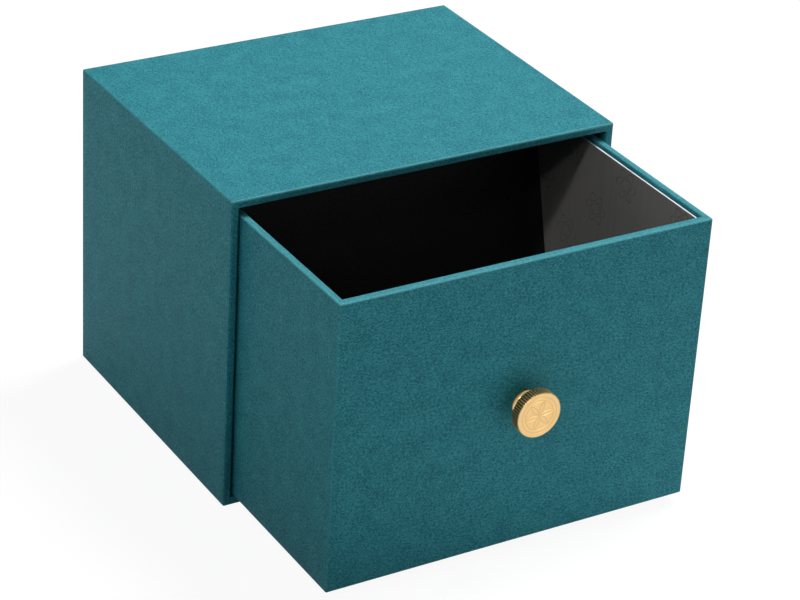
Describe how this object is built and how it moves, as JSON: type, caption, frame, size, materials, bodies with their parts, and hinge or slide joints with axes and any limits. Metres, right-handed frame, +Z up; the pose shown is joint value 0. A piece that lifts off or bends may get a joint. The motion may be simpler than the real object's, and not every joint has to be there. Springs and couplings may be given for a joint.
{
  "type": "drawer gift box",
  "caption": "Rigid board gift box: a square sleeve with a lined drawer that slides out of its open front and a round knurled knob on the drawer's panel.",
  "frame": {"origin": "centre of the sleeve's underside", "axes": "+Z up; -Y out of the sleeve's mouth, the way the drawer opens and the knob points; +X to the right as seen from the front"},
  "size_m": [0.12, 0.1517, 0.094],
  "materials": {
    "textured_wrap_paper": "matt, embossed with a fine pebble grain",
    "greyboard": "raw pressed board",
    "kraft_stay_tape": "plain gummed paper tape",
    "black_lining_paper": "matt uncoated",
    "grey_printed_card": "semi-gloss coat over a white core",
    "gold_brass": "turned and polished, straight knurl",
    "zinc_plated_steel": "bright zinc plate"
  },
  "bodies": {
    "sleeve": {"sleeve_top_board": "greyboard", "sleeve_bottom_board": "greyboard", "sleeve_left_board": "greyboard", "sleeve_right_board": "greyboard", "sleeve_back_board": "greyboard", "sleeve_edge_stays": "kraft_stay_tape", "sleeve_wrap": "textured_wrap_paper", "sleeve_base_sheet": "textured_wrap_paper", "sleeve_back_sheet": "textured_wrap_paper", "sleeve_lining": "black_lining_paper"},
    "drawer": {"drawer_floor_board": "greyboard", "drawer_front_board": "greyboard", "drawer_back_board": "greyboard", "drawer_left_board": "greyboard", "drawer_right_board": "greyboard", "drawer_corner_stays": "kraft_stay_tape", "drawer_wrap": "textured_wrap_paper", "drawer_base_sheet": "textured_wrap_paper", "drawer_wall_lining": "black_lining_paper", "drawer_floor_lining": "black_lining_paper", "side_liner_card": "grey_printed_card", "knob": "gold_brass", "knob_screw": "zinc_plated_steel"}
  },
  "joints": [
    {"name": "drawer_slide", "type": "slide", "parent": "sleeve", "child": "drawer", "axis": [0, -1, 0], "range_m": [-0.0524, 0.045]}
  ]
}
